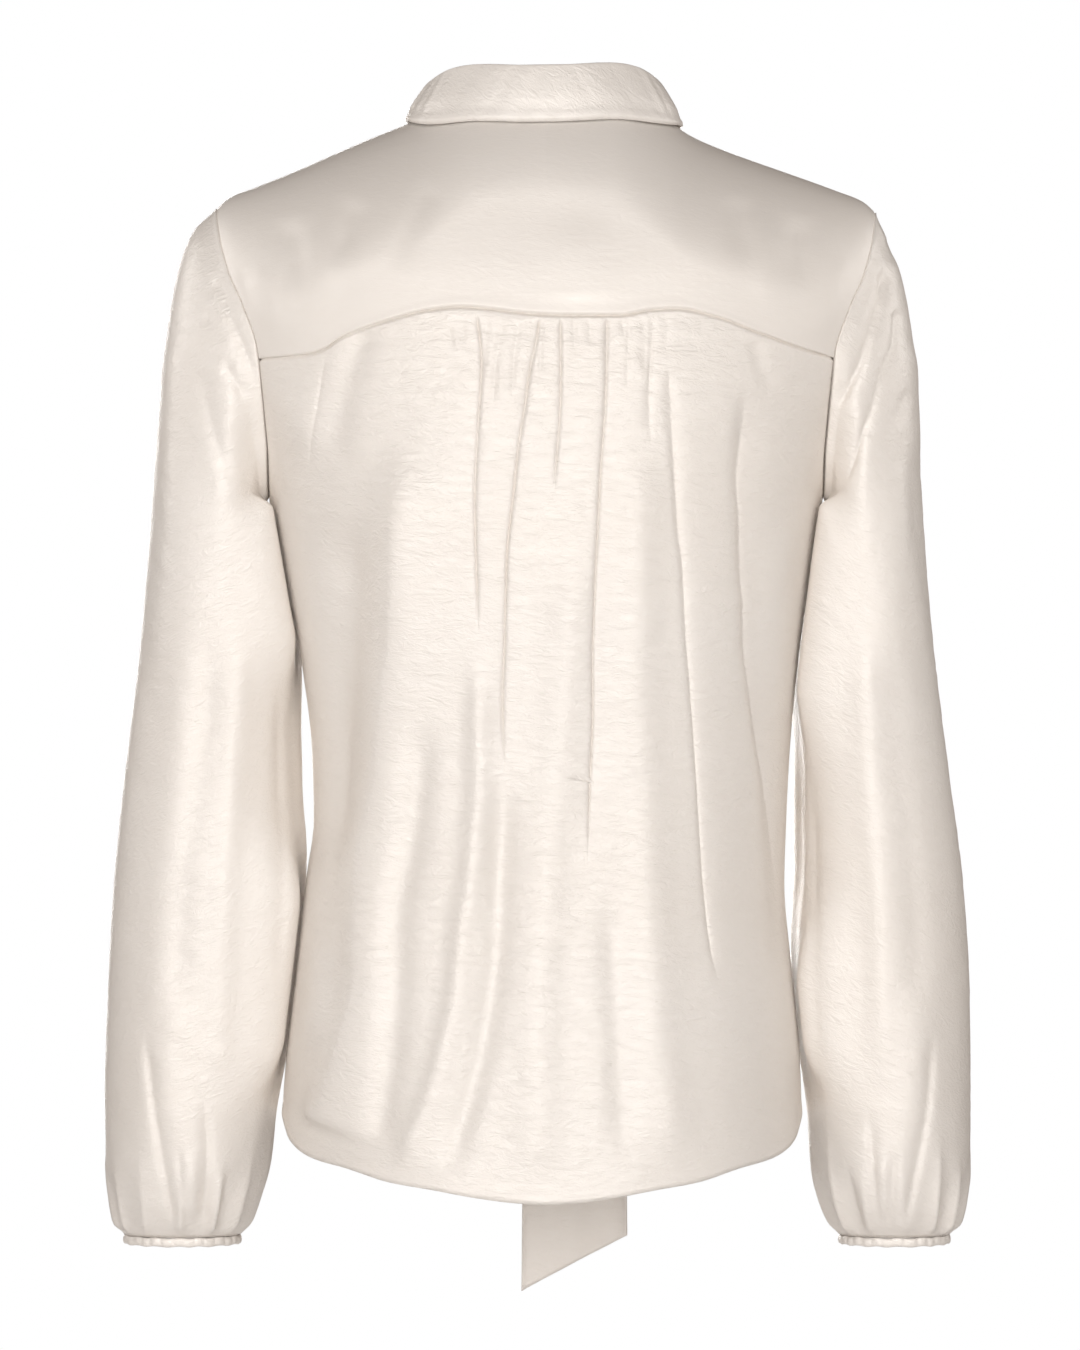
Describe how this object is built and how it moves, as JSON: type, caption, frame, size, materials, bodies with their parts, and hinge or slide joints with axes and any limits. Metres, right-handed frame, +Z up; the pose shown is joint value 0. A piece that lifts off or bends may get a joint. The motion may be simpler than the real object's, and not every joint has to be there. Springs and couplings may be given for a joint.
{
  "type": "blouse",
  "caption": "Long-sleeved satin tie-neck blouse with a shaped back yoke, gathered back and cap, elasticated cuffs and a curved hem, filled out as worn.",
  "frame": {"origin": "on the middle line between the two neck points, where the wearer's shoulders hold the blouse", "axes": "+Z up, the front faces -Y, the wearer's left is +X"},
  "size_m": [0.5394, 0.2629, 0.7696],
  "materials": {
    "satin_body": "ivory washed satin with a soft sheen and fine crinkles",
    "satin_sleeves": "ivory washed satin with a soft sheen and slanting crinkles",
    "satin_trim": "ivory washed satin, doubled",
    "satin_tie": "ivory washed satin, doubled"
  },
  "bodies": {
    "root": {"back_yoke": "satin_body", "back_panel": "satin_body", "front_panel": "satin_body", "sleeve_left": "satin_sleeves", "sleeve_right": "satin_sleeves", "cuff_left": "satin_trim", "cuff_right": "satin_trim", "neck_band": "satin_trim", "tie_knot": "satin_tie", "tie_end_right": "satin_tie", "tie_end_left": "satin_tie"}
  },
  "joints": []
}
